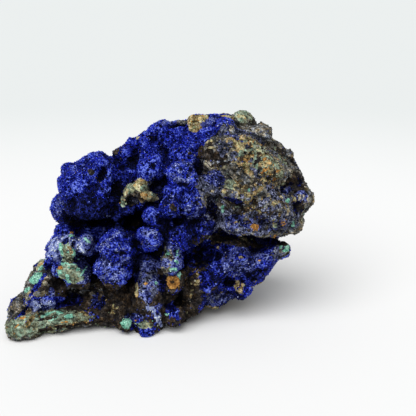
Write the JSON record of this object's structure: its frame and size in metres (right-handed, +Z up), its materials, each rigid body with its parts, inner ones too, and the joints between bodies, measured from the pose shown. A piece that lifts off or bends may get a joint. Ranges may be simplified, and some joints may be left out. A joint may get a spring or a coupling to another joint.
{
  "type": "azurite specimen",
  "caption": "Hand-sized azurite specimen: blue botryoidal nodules on brown chipped matrix, with a thin malachite toe; rests on its worn underside for display.",
  "frame": {"origin": "centre of the bounding box, on the plane of the worn feet that it rests on", "axes": "+Z up, +X from the thin toe towards the broad boss, -Y towards the front with the nodules"},
  "size_m": [0.1084, 0.0556, 0.0751],
  "materials": {
    "azurite_ore": "granular azurite druse over rough brown matrix with malachite patches"
  },
  "bodies": {
    "root": {"specimen": "azurite_ore"}
  },
  "joints": []
}
